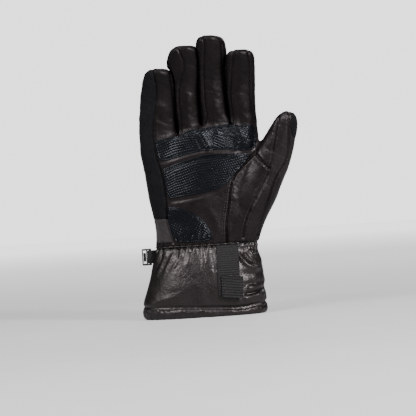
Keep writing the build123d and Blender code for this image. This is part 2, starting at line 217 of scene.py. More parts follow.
def thumb_frame(x, z):
    """Distance along the thumb's own line, and across it."""
    return x * sin(LEAN) + z * cos(LEAN), x * cos(LEAN) - z * sin(LEAN)


def bar(v, y, half, deep, power, w=None, reach=1.0, round_=2.8):
    """Roughly the distance to a bar of superellipse sections. w is 0 along the bar and 1 at its rounded end."""
    a, b = np.abs(v) / half, np.abs(y) / deep
    a1, b1 = a ** (power - 1), b ** (power - 1)
    s = np.maximum((a * a1 + b * b1) ** (1 / power), 1e-3)
    slope = s ** (1 - power) * np.sqrt((a1 / half) ** 2 + (b1 / deep) ** 2)
    if w is not None:
        r = (s**round_ + w**round_) ** (1 / round_)
        slope = np.sqrt(((s / r) ** (round_ - 1) * slope) ** 2 + ((w / r) ** (round_ - 1) / reach) ** 2)
        s = r
    return (s - 1) / np.maximum(slope, 0.02)


def join(a, b, soft):
    """The two fields joined with a fillet about soft wide."""
    h = np.clip(soft - np.abs(a - b), 0, None) / soft
    return np.minimum(a, b) - h * h * soft * 0.25


def glove_fields(step):
    """The fields of the body and each digit on a grid, and the grid's origin."""
    low, high = np.array([-66.0, -46.0, 1.0]), np.array([108.0, 46.0, 281.0])
    axes = [np.arange(a, b, step, dtype=np.float32) for a, b in zip(low, high)]
    x, y, z = np.meshgrid(*axes, indexing="ij", sparse=True)
    left, right = BODY_LEFT(z), BODY_RIGHT(z)
    body = bar(x - (left + right) / 2, y, (right - left) / 2, BODY_DEEP(z), BODY_POWER(z)).astype(np.float32)
    top = table(CROTCH, 3)(across_fingers(x, y, z)) + 12.0 * ramp(y, -1, 10)  # higher behind, as a web
    fields = {"body": -join(-body, -((z - top) * 0.95).astype(np.float32), 8)}
    for name, d in DIGITS.items():
        i0, i1 = np.searchsorted(axes[0], [d["edge"][0][1] - 16, d["edge"][0][2] + 14])
        k0 = np.searchsorted(axes[2], 146)
        xs, zs = x[i0:i1], z[:, :, k0:]
        half, mid = (d["right"](zs) - d["left"](zs)) / 2, (d["right"](zs) + d["left"](zs)) / 2
        cap0, cap1 = d["cap"]
        w = np.clip(zs - cap0, 0, None) / (cap1 - cap0) + np.clip(186 - zs, 0, None) / 38
        deep = d["deep"] - 1.2 * ramp(zs, 200, cap1)
        f = np.full(body.shape, 40.0, np.float32)
        across = across_fingers(xs, y, zs) - mid
        f[i0:i1, :, k0:] = bar(across, y - d["y"](zs), half, deep, 2.35, w, cap1 - cap0, 3.4)
        if d["leans"]:
            dent = (0.5 - fields[d["leans"]]).astype(np.float32)
            f = np.where(z > np.interp(x, *LEAVE) + 6, -join(-f, -dent, 1.6), f)
        fields[name] = f
    u, v = thumb_frame(x, z)
    t_left, t_right, t_y, t_deep = (f(u) for f in THUMB_TABLES)
    w = np.clip(u - 205, 0, None) / 14.8 + np.clip(104 - u, 0, None) / 44
    thumb = bar(v - (t_left + t_right) / 2, y - t_y, (t_right - t_left) / 2, t_deep, 2.4, w, 15, 2.5)
    fields["thumb"] = thumb.astype(np.float32)
    return fields, low


FIELDS = {}


def glove_field(step, names):
    """The outer surface's field with only those fingers, and the thumb, on the hand."""
    if step not in FIELDS:
        FIELDS[step] = glove_fields(step)
    fields, low = FIELDS[step]
    fingers = np.minimum.reduce([fields[n] for n in names if n != "thumb"])
    return join(join(fields["body"], fingers, 5), fields["thumb"], 8), low


def sample(field, low, step, p):
    """The field's value at points."""
    q = np.clip((p - low) / step, 0, np.array(field.shape) - 1.001)
    i = q.astype(int)
    f = q - i
    total = 0.0
    for c in range(8):
        d = np.array([c >> 2 & 1, c >> 1 & 1, c & 1])
        weight = np.prod(np.where(d, f, 1 - f), axis=1)
        total = total + weight * field[tuple((i + d).T)]
    return total


def slope_of(field, low, step, p):
    """The field's gradient at points."""
    g = np.empty_like(p)
    for axis in range(3):
        d = np.zeros(3)
        d[axis] = step * 0.6
        g[:, axis] = (sample(field, low, step, p + d) - sample(field, low, step, p - d)) / (1.2 * step)
    return g


def surface(field, low, step):
    """Vertices and triangles of the surface where the field is 0."""
    solid = field < 0
    n = np.array(field.shape) - 1
    corner = lambda a, c: a[c[0] : n[0] + c[0], c[1] : n[1] + c[1], c[2] : n[2] + c[2]]
    corners = [(i, j, k) for i in (0, 1) for j in (0, 1) for k in (0, 1)]
    count = sum(corner(solid, c).astype(np.int8) for c in corners)
    active = (count > 0) & (count < 8)
    cells = np.argwhere(active)
    number = np.full(active.shape, -1)
    number[tuple(cells.T)] = np.arange(len(cells))
    total, hits = np.zeros((len(cells), 3)), np.zeros(len(cells))
    for a in corners:
        for axis in range(3):
            if a[axis]:
                continue
            b = tuple(1 if k == axis else a[k] for k in range(3))
            fa, fb = (field[tuple((cells + np.array(c)).T)] for c in (a, b))
            hit = (fa < 0) != (fb < 0)
            t = np.where(hit, fa / np.where(hit, fa - fb, 1), 0)
            place = cells + np.array(a) + np.outer(t, np.array(b) - np.array(a))
            total += place * hit[:, None]
            hits += hit
    verts = low + total / hits[:, None] * step
    quads = []
    for axis in range(3):
        o1, o2 = [np.eye(3, dtype=int)[k] for k in range(3) if k != axis]
        if axis == 1:
            o1, o2 = o2, o1
        first = [slice(1, -1)] * 3
        first[axis] = slice(0, -1)
        second = list(first)
        second[axis] = slice(1, None)
        a, b = solid[tuple(first)], solid[tuple(second)]
        at = np.argwhere(a != b) + np.array([0 if k == axis else 1 for k in range(3)])
        flip = solid[tuple(at.T)]
        q = np.stack([number[tuple((at - o).T)] for o in (o1 + o2, o2, 0 * o1, o1)], 1)
        q[~flip] = q[~flip][:, ::-1]
        quads.append(q[(q >= 0).all(1)])
    q = np.vstack(quads)
    d1 = np.linalg.norm(verts[q[:, 0]] - verts[q[:, 2]], axis=1)
    d2 = np.linalg.norm(verts[q[:, 1]] - verts[q[:, 3]], axis=1)
    q = np.where((d1 <= d2)[:, None], q, np.roll(q, -1, axis=1))
    return verts, np.vstack([q[:, [0, 1, 2]], q[:, [0, 2, 3]]])


def smoothed(values, tris, rounds, share=0.5):
    """Per-vertex values averaged with their neighbours'."""
    edges = np.vstack([tris[:, [0, 1]], tris[:, [1, 2]], tris[:, [2, 0]]])
    edges = np.vstack([edges, edges[:, ::-1]])
    count = np.maximum(np.bincount(edges[:, 0], minlength=len(values)), 1)
    for _ in range(rounds):
        mean = np.stack([np.bincount(edges[:, 0], v[edges[:, 1]], len(values)) for v in values.T], 1)
        values = values + share * (mean / count[:, None] - values)
    return values


def normals_of(verts, tris):
    """Vertex normals, weighted by area."""
    a, b, c = (verts[tris[:, k]] for k in range(3))
    face = np.cross(b - a, c - a)
    total = np.zeros_like(verts)
    for k in range(3):
        for axis in range(3):
            total[:, axis] += np.bincount(tris[:, k], face[:, axis], len(verts))
    return total / np.maximum(np.linalg.norm(total, axis=1), 1e-9)[:, None]


class Skin:
    """A triangle mesh with named marks on its faces. mark() cuts it along a scalar's zero line."""

    def __init__(self, level, step, names, above=0.0):
        field, low = glove_field(step, names)
        field = field - level
        self.verts, self.tris = surface(field, low, step)
        self.keep((self.verts[self.tris, 2] > above).all(1))
        for _ in range(3):
            self.verts = smoothed(self.verts, self.tris, 1)
            f, g = sample(field, low, step, self.verts), slope_of(field, low, step, self.verts)
            move = -f[:, None] * g / np.maximum((g * g).sum(1), 0.2)[:, None]
            self.verts += np.clip(move, -1, 1)
        self.marks = {}

    def keep(self, faces):
        used, index = np.unique(self.tris[faces], return_inverse=True)
        self.verts, self.tris = self.verts[used], index.reshape(-1, 3)

    def mark(self, name, scalar):
        """Faces where scalar is below 0 get the mark, and faces that its zero line crosses are cut on it."""
        s = scalar(*self.verts.T)
        inside = s[self.tris] < 0
        some = inside.sum(1)
        mixed = (some > 0) & (some < 3)
        whole, cut, cut_in = self.tris[~mixed], self.tris[mixed], inside[mixed]
        lone_in = some[mixed] == 1
        lone = np.argmax(cut_in == lone_in[:, None], axis=1)
        cut = np.stack([cut[np.arange(len(cut)), (lone + k) % 3] for k in range(3)], 1)
        pairs = np.sort(np.vstack([cut[:, [0, 1]], cut[:, [0, 2]]]), axis=1)
        unique, where = np.unique(pairs, axis=0, return_inverse=True)
        where = where.reshape(-1)
        a, b = unique.T
        t = np.clip(s[a] / np.where(s[a] == s[b], 1, s[a] - s[b]), 0.12, 0.88)
        fresh = self.verts[a] + t[:, None] * (self.verts[b] - self.verts[a])
        m1, m2 = where[: len(cut)] + len(self.verts), where[len(cut) :] + len(self.verts)
        self.verts = np.vstack([self.verts, fresh])
        small = np.stack([cut[:, 0], m1, m2], 1)
        rest = [np.stack([m1, cut[:, 1], cut[:, 2]], 1), np.stack([m1, cut[:, 2], m2], 1)]
        self.tris = np.vstack([whole, small, *rest])
        source = np.concatenate([np.flatnonzero(~mixed), *[np.flatnonzero(mixed)] * 3])
        self.marks = {k: m[source] for k, m in self.marks.items()}
        self.marks[name] = np.concatenate([some[~mixed] == 3, lone_in, ~lone_in, ~lone_in])


# ---------------------------------------------------------------- seams and creases, as seen from the palm side

STRIP_EDGE = [(-36.5, 252), (-35, 241), (-33.2, 230), (-34, 218), (-36, 208), (-38, 200), (-39.5, 190), (-40, 180),
              (-39, 172), (-38, 160), (-33, 142), (-31, 125), (-31, 99)]  # fmt: skip
THUMB_EDGE = [(62, 161), (52, 151), (45, 144), (40, 138), (36, 131), (33.5, 122), (32, 112), (29.5, 100),
              (27.5, 90), (27, 80), (27, 68)]  # fmt: skip
SEAMS = [  # polyline, depth, half width
    (STRIP_EDGE, 0.9, 1.0),
    ([(-31, 99), (-30, 90), (-28, 82), (-26, 75)], 0.8, 1.0),
    ([(-60, 99), (-31, 99)], 0.5, 0.8),
    ([(-16.5, 196), (-16.2, 188), (-15, 183), (-13.5, 181.5), (-12, 183), (-11, 190), (-11, 195), (-12, 210),
      (-12, 222), (-10.5, 230), (-8, 238), (-5, 243), (-4.5, 250), (-6, 257), (-9.5, 266)], 0.9, 0.8),
    ([(-19, 246), (-17.5, 236), (-17, 225), (-16.6, 210), (-16.5, 196)], 0.6, 0.9),
    ([(7.4, 200), (7.4, 193), (9, 190), (10.5, 189.4), (12.6, 190.5), (15, 198), (14, 205), (13.5, 220), (14, 240),
      (15, 250), (16.5, 262), (17, 270), (15, 276)], 0.9, 0.8),
    ([(9.5, 262), (10, 250), (9, 235), (7.6, 220), (7.4, 200)], 0.6, 0.9),
    ([(34.5, 268), (34.6, 250), (33.2, 240), (34, 225), (34.6, 205), (37, 192), (40.5, 187.5), (41, 190), (40, 200),
      (38.9, 215), (40, 228), (43, 247), (45, 262)], 0.9, 0.8),
    ([(60, 263), (61.5, 245), (60.6, 228), (60, 215), (61, 205), (62, 192)], 0.9, 1.0),
    (THUMB_EDGE, 1.2, 1.0),
    ([(85.6, 192), (83, 183), (81, 175), (79, 165), (77, 155), (76, 148), (74, 143), (72, 137), (69, 131), (64, 122),
      (60, 116), (55, 108), (51, 100), (46, 88), (43, 76)], 1.2, 0.9),
    ([(61, 157), (65, 151), (69, 146), (73, 142)], 1.3, 0.9),
    ([(96.5, 198), (95.6, 190), (95, 180), (94.6, 168), (93.5, 158), (89.5, 147), (83, 138), (78, 129), (73, 118),
      (67, 103), (61, 89), (58, 78)], 1.2, 0.9),
]  # fmt: skip
RIDGES = [  # polyline, height (negative for a crease), half width
    ([(30, 199), (35, 192), (41, 186), (48, 175), (53, 166), (58, 160)], 1.9, 4.5),
    ([(22, 192), (29, 183), (37, 172), (44, 163)], -1.3, 3.0),
    ([(40, 170), (50, 168), (60, 170)], 2.0, 6.0),
    ([(5, 184), (9, 176), (12, 169), (17, 162)], 2.4, 5.0),
    ([(-2, 182), (3, 174), (8, 165)], -0.9, 2.6),
    ([(-30, 152), (-16, 156), (4, 160.5), (20, 160), (37, 158.5), (57, 160)], 1.4, 2.8),
    ([(-30, 146), (-10, 152), (10, 156.5), (35, 156.5)], -0.8, 2.2),
    ([(-30, 115.4), (-12, 117), (2, 119), (16, 122), (28, 127)], -0.8, 2.0),
    ([(8, 112), (14, 100), (18, 90), (20, 80)], 0.35, 3.5),
    ([(38, 120), (36, 105), (33, 92)], 0.9, 4.0),
    ([(70, 128), (60, 112), (53, 98)], 0.9, 4.5),
    ([(60, 173), (56, 170), (50, 172)], 0.8, 2.0),
    ([(83, 160), (88, 172), (91, 184)], 1.3, 4.0),
    ([(39, 20.2), (49, 20.8), (56, 22.5), (63, 26)], -2.3, 1.5),
    ([(37, 15.5), (48, 17.5), (56, 19), (63, 22)], 1.4, 2.6),
    ([(40, 30.5), (50, 30), (62, 32)], -1.0, 1.6),
    ([(42, 26), (52, 26.5), (62, 29)], 0.9, 2.0),
    ([(38, 60), (41, 52), (46, 47), (53, 44.5), (59, 45.5)], 1.8, 1.9),
    ([(43, 62), (46, 55), (51, 51), (56, 50)], -1.7, 1.5),
    ([(47, 64), (50, 58), (55, 56)], 1.5, 1.5),
    ([(52, 66), (54, 61), (58, 60)], -1.2, 1.2),
    ([(40, 42), (48, 39), (60, 41)], -0.9, 2.2),
    ([(-40, 66), (-46, 54), (-52, 42)], 0.8, 2.4),
    ([(-32, 66), (-40, 52), (-46, 42)], 0.8, 1.8),
    ([(-25, 66), (-33, 52), (-38, 42)], 0.7, 1.6),
    ([(-16, 66), (-24, 54), (-30, 46)], 0.6, 1.6),
    ([(4, 66), (2, 52), (1, 38)], 0.25, 2.5),
    ([(-8, 66), (-12, 56), (-16, 48)], 0.45, 1.8),
    ([(11, 66), (12, 55), (13.5, 40)], -0.6, 2.2),
    ([(-20, 48), (-8, 38), (6, 26), (14, 18)], -0.12, 1.4),
    ([(-50, 18), (-36, 20), (-20, 24)], 0.6, 3.0),
]  # fmt: skip
BACK_SEAMS = [
    ([(-40, 186), (-38, 150), (-34, 110), (-32, 76)], 0.9, 1.1),
    ([(46, 186), (47, 150), (45, 110), (42, 76)], 0.9, 1.1),
    ([(-50, 146), (-20, 141), (10, 140), (40, 142), (62, 146)], 1.0, 1.2),
    ([(-46, 44), (0, 42), (60, 44)], 0.9, 1.2),
]  # fmt: skip
HEM_TOP = table([(-63, 11.5), (-46, 11.2), (-21, 10.2), (-1, 8.8), (19, 7.4), (34, 6.6), (44, 7), (54, 8.6),
                 (64, 10.8)], 3)  # fmt: skip
PLEATS = 37  # gathers round the wrist
HEM_BACK = 10.6  # the hem roll's height on the back of the hand, where HEM_TOP gives it on the palm side


def folds(p, front, back):
    """How far the skin stands out, in millimetres, for its seams, gathers, folds and creases."""
    x, y, z = p.T
    out = np.zeros(len(p))
    for line, depth, half in SEAMS:
        line = rounded(line)
        d, s = near(line, x, z)
        pucker = 1 + 0.2 * np.sin(s * 2 * pi / 4.3 + 1.7 * np.sin(s / 9))
        out -= 1.35 * front * depth * np.exp(-((d / half) ** 2))
        out += front * 0.3 * depth * pucker * np.exp(-(((d - 2.6) / 1.8) ** 2))
    for line, height, half in RIDGES:
        line = rounded(line)
        d, s = near(line, x, z)
        length = np.hypot(*np.diff(line, axis=0).T).sum()
        ends = ramp(s, 0, length * 0.2) * (1 - ramp(s, length * 0.75, length))
        out += front * height * (0.15 + 0.85 * ends) * np.exp(-((d / half) ** 2))
    for line, depth, half in BACK_SEAMS:
        d, _ = near(rounded(line), x, z)
        out -= back * depth * np.exp(-((d / half) ** 2))
        out += back * 0.4 * depth * np.exp(-(((d - 3) / 2) ** 2))
    # gathers that run out from the wrist seam, up over the heel and down over the cuff
    mid = (BODY_LEFT(z) + BODY_RIGHT(z)) / 2
    turn = np.arctan2(y / BODY_DEEP(z), (x - mid) / 52) / (2 * pi)
    q = np.stack([np.cos(turn * 2 * pi) * 60, np.sin(turn * 2 * pi) * 60, z * 0.25], 1)
    phase = turn * PLEATS + 0.9 * noise3(q, 22.0, 5) + 0.4 * noise3(q, 9.0, 6)
    pleat = np.abs(np.sin(pi * phase))
    run = noise3(np.stack([np.floor(phase) * 13.7, 0 * x, 0 * x], 1), 5.0, 9)
    up = z - WRIST_SEAM
    below = 1.25 * np.exp(-(np.clip(-up, 0, None) / (8 + 5 * run)) ** 1.5) * (up <= 0)
    above = np.exp(-(np.clip(up, 0, None) / (8 + 4 * run)) ** 1.5) * (up > 0)
    soft = 1 - 0.75 * np.clip(front * ramp(-np.abs(x - 26.5), -13, -10), 0, 1)
    out += (below + above) * soft * (pleat - 1.4 * (1 - pleat) ** 4)
    out -= 1.6 * np.exp(-((up / 1.6) ** 2))
    out -= 1.4 * np.exp(-(((z - 1.4 - np.where(y < 0, HEM_TOP(x), HEM_BACK)) / 1.5) ** 2))
    # cross creases on the digits, long wrinkles on the thumb and the cuff
    finger = ramp(z, 178, 196) * (x < 68)
    q = np.stack([x * 0.5 + z * 0.2, y * 0.4, z + 0.35 * x], 1)
    out -= finger * 0.2 * creases(q, 6.5, 3, 6.4)
    out += finger * 0.2 * noise3(q, 4.6, 8)
    u, v = thumb_frame(x, z)
    thumb = ramp(u, 150, 180) * ramp(x, 62, 68)
    q = np.stack([v * 0.4, y * 0.4, u], 1)
    out -= thumb * 0.3 * creases(q, 6.0, 4, 6.4)
    out += 0.34 * noise3(p, 21.0, 1) + 0.08 * noise3(p, 9.0, 2)
    cuff = 1 - ramp(z, 62, 72)
    right = ramp(x, 30, 50)
    out += cuff * (0.15 + 1.1 * right) * noise3(p * np.array([1, 1, 1.6]), 11.0, 11)
    out -= (0.1 + 0.5 * cuff * right) * creases(p, 12.0, 7)
    out -= 0.09 * creases(p, 6.0, 12)
    return out


CLOTH_FRAMES = 20
CLOTH_MOVE = (-1.0, 2.6)  # the limits of what the simulation moves the skin in or out
SWELL_SHARE = 0.8  # how much of that movement the fine skins take
GIVE = 4.0  # the size of the cloth simulation's mesh and of the grid that carries its result to the fine skins


def pushed_out():
    """A grid of how far the padding pushes the leather out between its seams, from a cloth simulation, and its origin.

    A coarse copy of the outer skin is held along its seams, at the wrist, the hem and the sides, and is slightly
    larger than its shape, so that pressure from inside swells it and wrinkles it between the seams.
    """
    coarse = Skin(-0.3, GIVE, list(DIGITS))
    rest, n = coarse.verts.copy(), normals_of(coarse.verts, coarse.tris)
    x, _, z = rest.T
    held = (np.abs(z - WRIST_SEAM) < 4) | (z < 12) | (np.abs(n[:, 1]) < 0.3)
    for lines, side in ((SEAMS, n[:, 1] < 0), (BACK_SEAMS, n[:, 1] > 0)):
        for line, _, _ in lines:
            held |= side & (near(rounded(line), x, z)[0] < 3.2)
    mesh = bpy.data.meshes.new("cloth")
    mesh.from_pydata((rest * MM).tolist(), [], coarse.tris.tolist())
    obj = bpy.data.objects.new("cloth", mesh)
    bpy.context.scene.collection.objects.link(obj)
    obj.vertex_groups.new(name="held").add(np.flatnonzero(held).tolist(), 1.0, "REPLACE")
    modifier = obj.modifiers.new("cloth", "CLOTH")
    cloth = modifier.settings
    cloth.use_pressure, cloth.uniform_pressure_force = True, 4.0
    cloth.quality, cloth.mass, cloth.vertex_group_mass = 5, 0.3, "held"
    cloth.tension_stiffness = cloth.compression_stiffness = 15
    cloth.shear_stiffness, cloth.bending_stiffness = 7.5, 0.5
    cloth.shrink_min, cloth.effector_weights.gravity = -0.03, 0
    modifier.collision_settings.use_collision = False
    modifier.point_cache.frame_start, modifier.point_cache.frame_end = 1, CLOTH_FRAMES
    for frame_number in range(1, CLOTH_FRAMES + 1):
        bpy.context.scene.frame_set(frame_number)
    result = obj.evaluated_get(bpy.context.evaluated_depsgraph_get()).data
    swollen = np.empty(len(rest) * 3)
    result.vertices.foreach_get("co", swollen)
    move = np.clip(((swollen.reshape(-1, 3) / MM - rest) * n).sum(1), *CLOTH_MOVE)
    bpy.data.objects.remove(obj)
    bpy.data.meshes.remove(mesh)
    bpy.context.scene.frame_set(1)
    low = rest.min(0) - 3 * GIVE
    cell = tuple(np.rint((rest - low) / GIVE).astype(int).T)
    total = np.zeros(np.ceil((rest.max(0) - low) / GIVE).astype(int) + 4)
    count = np.zeros_like(total)
    np.add.at(total, cell, move)
    np.add.at(count, cell, 1.0)
    for axis in range(3):
        total, count = (0.5 * a + 0.25 * (np.roll(a, 1, axis) + np.roll(a, -1, axis)) for a in (total, count))
    return total / np.maximum(count, 0.02), low


# ---------------------------------------------------------------- making Blender objects

MATERIALS = {}


def make(name, verts, faces, material, smooth=True, normals=None):
    """A mesh object from millimetre coordinates."""
    mesh = bpy.data.meshes.new(name)
    mesh.from_pydata((np.asarray(verts) * MM).tolist(), [], faces if isinstance(faces, list) else faces.tolist())
    mesh.polygons.foreach_set("use_smooth", [smooth] * len(mesh.polygons))
    if normals is not None:
        mesh.normals_split_custom_set_from_vertices(np.asarray(normals).tolist())
    mesh.materials.append(MATERIALS[material])
    obj = bpy.data.objects.new(name, mesh)
    bpy.context.scene.collection.objects.link(obj)
    return obj


def cut_out(name, skin, faces, material, node):
    """The part of a skin that faces selects, as its own object with the skin's normals, in place of a node."""
    used, index = np.unique(skin.tris[faces], return_inverse=True)
    obj = make(name, skin.verts[used], index.reshape(-1, 3), material, normals=skin.normals[used])
    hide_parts(node)
    return obj


def grid_faces(rows, cols, wrap_rows=False, wrap_cols=False):
    """Quads over a rows by cols grid of vertices, closed round where asked."""
    faces = []
    for r in range(rows if wrap_rows else rows - 1):
        for c in range(cols if wrap_cols else cols - 1):
            r1, c1 = (r + 1) % rows, (c + 1) % cols
            faces.append((r * cols + c, r * cols + c1, r1 * cols + c1, r1 * cols + c))
    return faces


# ---------------------------------------------------------------- materials


class Nodes:
    """Short hand for building a material's nodes."""

    def __init__(self, name):
        self.material = bpy.data.materials.new(name)
        self.material.use_nodes = True
        self.tree = self.material.node_tree
        self.shader = self.tree.nodes["Principled BSDF"]
        self.place = self.add("ShaderNodeTexCoord").outputs["Object"]
        MATERIALS[name] = self.material

    def put(self, value, socket):
        """Links an output to the socket, or sets a plain value."""
        if hasattr(value, "links"):
            self.tree.links.new(value, socket)
        else:
            socket.default_value = value

    def add(self, kind, **values):
        """A node with those inputs or settings."""
        node = self.tree.nodes.new(kind)
        for key, value in values.items():
            if key in node.inputs:
                self.put(value, node.inputs[key])
            else:
                setattr(node, key, value)
        return node

    def math(self, operation, a, b=0.0):
        """MULTIPLY_ADD adds the node's own third value, 0.5."""
        node = self.add("ShaderNodeMath", operation=operation)
        self.put(a, node.inputs[0])
        self.put(b, node.inputs[1])
        return node.outputs[0]

    def noise(self, size, detail=3.0, rough=0.55):
        """Noise with lumps about size millimetres across."""
        kind = "ShaderNodeTexNoise"
        return self.add(kind, Scale=1000.0 / size, Detail=detail, Roughness=rough, Vector=self.place).outputs["Fac"]

    def cells(self, size):
        """Distance to the edges of wavy cells about size millimetres across."""
        warp = self.add("ShaderNodeTexNoise", Scale=1400.0 / size, Detail=2.0, Vector=self.place)
        mix = self.add("ShaderNodeVectorMath", operation="MULTIPLY_ADD")
        for k, value in enumerate((warp.outputs["Color"], (size * 0.0005,) * 3, self.place)):
            self.put(value, mix.inputs[k])
        kind = "ShaderNodeTexVoronoi"
        node = self.add(kind, feature="DISTANCE_TO_EDGE", Scale=1000.0 / size, Vector=mix.outputs[0])
        return node.outputs["Distance"]

    def wave(self, pitch, axis):
        """0 to 1 ribs of that pitch in millimetres along an axis of the row frame."""
        part = self.add("ShaderNodeSeparateXYZ", Vector=self.place)
        turn = self.math("MULTIPLY", part.outputs["XYZ".index(axis)], 2000 * pi / pitch)
        return self.math("MULTIPLY_ADD", self.math("SINE", turn), 0.5)

    def span(self, value, low, high, to_low, to_high):
        """Value taken from one range to another."""
        ends = {"From Min": low, "From Max": high, "To Min": to_low, "To Max": to_high}
        return self.add("ShaderNodeMapRange", Value=value, **ends).outputs[0]

    def colour(self, value, low, high, at=(0.3, 0.7)):
        """The base colour goes from low to high with value."""
        node = self.add("ShaderNodeValToRGB", Fac=value)
        for element, place, c in zip(node.color_ramp.elements, at, (low, high)):
            element.position = place
            element.color = (*c, 1)
        self.put(node.outputs[0], self.shader.inputs["Base Color"])

    def rough(self, value, low, high):
        self.put(self.span(value, 0.25, 0.75, low, high), self.shader.inputs["Roughness"])

    def bump(self, height, depth):
        """Adds a bump of that depth in millimetres to the ones already there."""
        node = self.add("ShaderNodeBump", Strength=1.0, Distance=depth * MM, Height=height)
        before = self.shader.inputs["Normal"]
        if before.is_linked:
            self.put(before.links[0].from_socket, node.inputs["Normal"])
        self.put(node.outputs[0], before)

    def set(self, **values):
        for key, value in values.items():
            self.shader.inputs[key.replace("_", " ")].default_value = value


def leather(name, dark, light, rough, grain=1.0, specular=0.3, tint=(1.0, 0.95, 0.96)):
    """Leather with pores and a crackle. grain scales them, and tint colours its shine."""
    m = Nodes(name)
    m.colour(m.noise(16, 4.0), dark, light)
    m.rough(m.noise(7, 4.0), *rough)
    for size, depth in ((1.25, 0.012 * grain), (3.0 * grain, 0.03 * grain**2)):
        m.bump(m.span(m.cells(size), 0.0, 0.12, 0.0, 1.0), depth)
    m.bump(m.noise(2.8, 3.0), 0.08 * grain)
    m.set(Specular_IOR_Level=specular, Specular_Tint=(*tint, 1.0))


leather("leather", (0.0034, 0.0023, 0.0026), (0.0078, 0.0052, 0.0058), (0.33, 0.46))
# The fingers' leather is a darker, duller copy of the palm's leather: painted shade for the fingers' faces that turn
# down.
leather("leather_finger_painted_shade", (0.0026, 0.0018, 0.0020), (0.0060, 0.0041, 0.0046), (0.36, 0.5), 1.0, 0.19)
# The thumb's leather is a lighter, shinier copy of the palm's leather: a painted highlight on the thumb.
leather("leather_thumb_painted_highlight", (0.0040, 0.0027, 0.0030), (0.0092, 0.0062, 0.0068), (0.34, 0.46), 1.0, 0.4)
leather("leather_cuff", (0.0038, 0.0025, 0.0027), (0.0092, 0.0060, 0.0062), (0.33, 0.44), 1.5, 0.6)
leather("grip", (0.0010, 0.0014, 0.0026), (0.0024, 0.0030, 0.0050), (0.26, 0.36), 0.5, 0.24, (0.84, 0.92, 1.0))

# name; colour: noise, dark, light; roughness: noise, low, high; bump: noise, depth; other settings
for NAME, SPOTS, DARK, LIGHT, DULL, LOW, HIGH, FUZZ, DEPTH, OTHER in (
    ("suede", (2.0, 6.0, 0.8), (0.0012, 0.0016, 0.0028), (0.0040, 0.0048, 0.0070), (5.0,), 0.80, 0.95,
     (0.7, 6.0, 0.8), 0.25, dict(Sheen_Weight=0.04, Sheen_Roughness=0.5, Specular_IOR_Level=0.2)),
    ("thread", (0.8, 3.0), (0.010, 0.009, 0.009), (0.045, 0.040, 0.038), (1.0,), 0.45, 0.65, (0.3, 2.0), 0.08, {}),
    ("plastic", (4.0, 3.0), (0.004, 0.004, 0.0045), (0.008, 0.008, 0.009), (3.0, 4.0), 0.34, 0.48,
     (0.35, 3.0), 0.04, {}),
    ("lining", (3.0, 6.0, 0.7), (0.020, 0.020, 0.022), (0.060, 0.060, 0.064), (2.0,), 0.85, 0.98,
     (1.3, 6.0, 0.8), 0.6, dict(Sheen_Weight=0.5, Sheen_Roughness=0.6)),
    ("fill", (4.0, 6.0, 0.7), (0.10, 0.10, 0.10), (0.22, 0.22, 0.215), (2.0,), 0.85, 0.98,
     (1.5, 6.0, 0.8), 0.8, {}),
    ("floor", (60.0, 3.0), (0.42, 0.42, 0.42), (0.45, 0.45, 0.45), (20.0,), 0.6, 0.7,
     (3.0,), 0.02, dict(Emission_Color=(1, 1, 1, 1))),
):  # fmt: skip
    M = Nodes(NAME)
    M.colour(M.noise(*SPOTS), DARK, LIGHT)
    M.rough(M.noise(*DULL), LOW, HIGH)
    M.bump(M.noise(*FUZZ), DEPTH)
    M.set(**OTHER)

# the floor is brighter to the camera than it is as light, more so far from the glove
LENGTH = M.add("ShaderNodeVectorMath", operation="LENGTH")
M.put(M.place, LENGTH.inputs[0])
FAR = M.span(LENGTH.outputs["Value"], 0.4, 4.0, 0.45, 2.0)
GLOW = M.math("MULTIPLY", FAR, M.add("ShaderNodeLightPath").outputs["Is Camera Ray"])
M.put(GLOW, M.shader.inputs["Emission Strength"])

M = Nodes("gusset")
RIBS = M.wave(1.1, "Z")
M.colour(M.math("MULTIPLY_ADD", RIBS, 0.5), (0.009, 0.007, 0.0082), (0.026, 0.021, 0.0235), (0.1, 0.9))
M.rough(M.noise(3.0), 0.75, 0.9)
M.bump(RIBS, 0.3)
M.bump(M.noise(0.6, 4.0), 0.2)
M.set(Sheen_Weight=0.3, Specular_IOR_Level=0.3)

M = Nodes("webbing")
RIBS = M.wave(0.9, "X")
TONE = M.math("MULTIPLY", RIBS, M.noise(1.0, 3.0))
M.colour(TONE, (0.0012, 0.0012, 0.0018), (0.0060, 0.0060, 0.0078), (0.05, 0.6))
M.rough(M.noise(2.0), 0.62, 0.8)
M.bump(RIBS, 0.16)
M.bump(M.noise(0.5, 3.0), 0.12)
M.set(Specular_IOR_Level=0.4, Sheen_Weight=0.15)

# ---------------------------------------------------------------- camera, light and floor

camera = bpy.data.objects.new("camera", bpy.data.cameras.new("camera"))
bpy.context.scene.collection.objects.link(camera)
bpy.context.scene.camera = camera
DISTANCE, FRAME_MM, ROLL = 1.8, 416.0, radians(3.7)
camera.data.sensor_width = 36.0
camera.data.lens = 36.0 * DISTANCE / (FRAME_MM * MM)
camera.data.clip_end = 50
UP = Vector((sin(ROLL), 0, cos(ROLL)))
FORWARD = Vector((0, 1, 0))
TURN = Matrix((FORWARD.cross(UP), UP, -FORWARD)).transposed().to_4x4()
camera.matrix_world = Matrix.Translation((0.0102, -DISTANCE, 0.107)) @ TURN


def light(name, place, aim, size, power, tint=(1, 1, 1)):
    """A rectangular lamp that points from place to aim, in metres and watts."""
    lamp = bpy.data.lights.new(name, "AREA")
    lamp.shape, (lamp.size, lamp.size_y) = "RECTANGLE", size
    lamp.energy, lamp.color = power, tint
    obj = bpy.data.objects.new(name, lamp)
    obj.location = place
    obj.rotation_euler = (Vector(aim) - Vector(place)).to_track_quat("-Z", "Y").to_euler()
    bpy.context.scene.collection.objects.link(obj)


